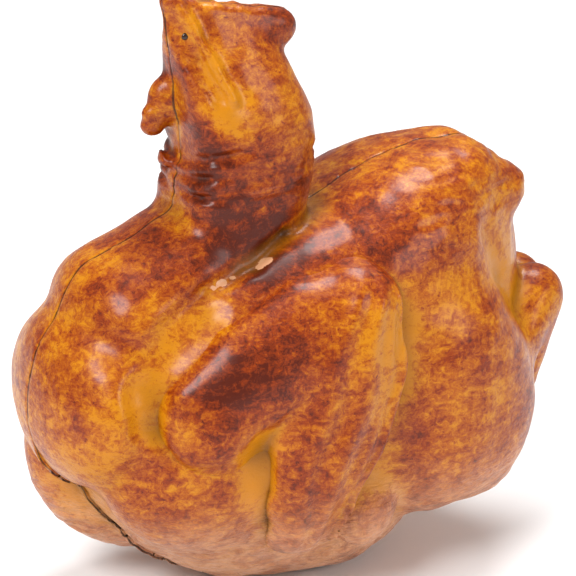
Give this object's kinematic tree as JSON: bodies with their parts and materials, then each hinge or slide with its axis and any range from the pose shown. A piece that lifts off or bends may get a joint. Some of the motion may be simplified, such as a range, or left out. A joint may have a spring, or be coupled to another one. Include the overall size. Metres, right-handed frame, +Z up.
{
  "type": "rubber chicken",
  "caption": "Hollow soft-rubber roast chicken sitting on its breast, with an upright bending neck, nodding head, folded wings that lift, tucked legs and a squeaker in the base.",
  "frame": {"origin": "on the resting plane, under the middle of the overall box", "axes": "+Z up, the bird faces -X, its left side faces -Y; the middle plane is Y = 0"},
  "size_m": [0.25, 0.1346, 0.259],
  "materials": {
    "painted_skin": "golden-yellow rubber, airbrushed red-brown, glossy",
    "painted_limb": "golden-yellow rubber, airbrushed darker red-brown, glossy",
    "bond_strip": "plain uncoloured rubber strip",
    "squeaker_plastic": "plain white moulding",
    "reed_plastic": "thin film tongue"
  },
  "bodies": {
    "trunk": {"trunk_left_shell": "painted_skin", "trunk_right_shell": "painted_skin", "trunk_front_strip": "bond_strip", "trunk_rear_strip": "bond_strip", "leg_left": "painted_limb", "leg_right": "painted_limb", "squeaker_cup": "squeaker_plastic", "squeaker_grille": "squeaker_plastic", "squeaker_reed_tube": "squeaker_plastic"},
    "neck": {"neck_left_shell": "painted_skin", "neck_right_shell": "painted_skin", "neck_front_strip": "bond_strip", "neck_rear_strip": "bond_strip"},
    "head": {"head_left_shell": "painted_skin", "head_right_shell": "painted_skin", "head_front_strip": "bond_strip", "head_rear_strip": "bond_strip"},
    "wing_left": {"wing_left": "painted_limb"},
    "wing_right": {"wing_right": "painted_limb"},
    "reed": {"squeaker_reed": "reed_plastic"}
  },
  "joints": [
    {"name": "neck_bend", "type": "hinge", "parent": "trunk", "child": "neck", "pos_m": [-0.026, 0, 0.168], "axis": [0, 1, 0], "range_deg": [-25, 12], "stiffness_Nm_per_rad": 3},
    {"name": "head_nod", "type": "hinge", "parent": "neck", "child": "head", "pos_m": [-0.0285, 0, 0.206], "axis": [0, 1, 0], "range_deg": [-10, 10], "stiffness_Nm_per_rad": 2},
    {"name": "wing_left_lift", "type": "hinge", "parent": "trunk", "child": "wing_left", "pos_m": [-0.092, -0.044, 0.106], "axis": [0, 0, -1], "range_deg": [0, 12], "stiffness_Nm_per_rad": 1.5},
    {"name": "wing_right_lift", "type": "hinge", "parent": "trunk", "child": "wing_right", "pos_m": [-0.092, 0.044, 0.106], "axis": [0, 0, 1], "range_deg": [0, 12], "stiffness_Nm_per_rad": 1.5},
    {"name": "reed_buzz", "type": "hinge", "parent": "trunk", "child": "reed", "pos_m": [0, 0, 0.006], "axis": [0, 1, 0], "range_deg": [-3, 3], "stiffness_Nm_per_rad": 0.00001}
  ]
}
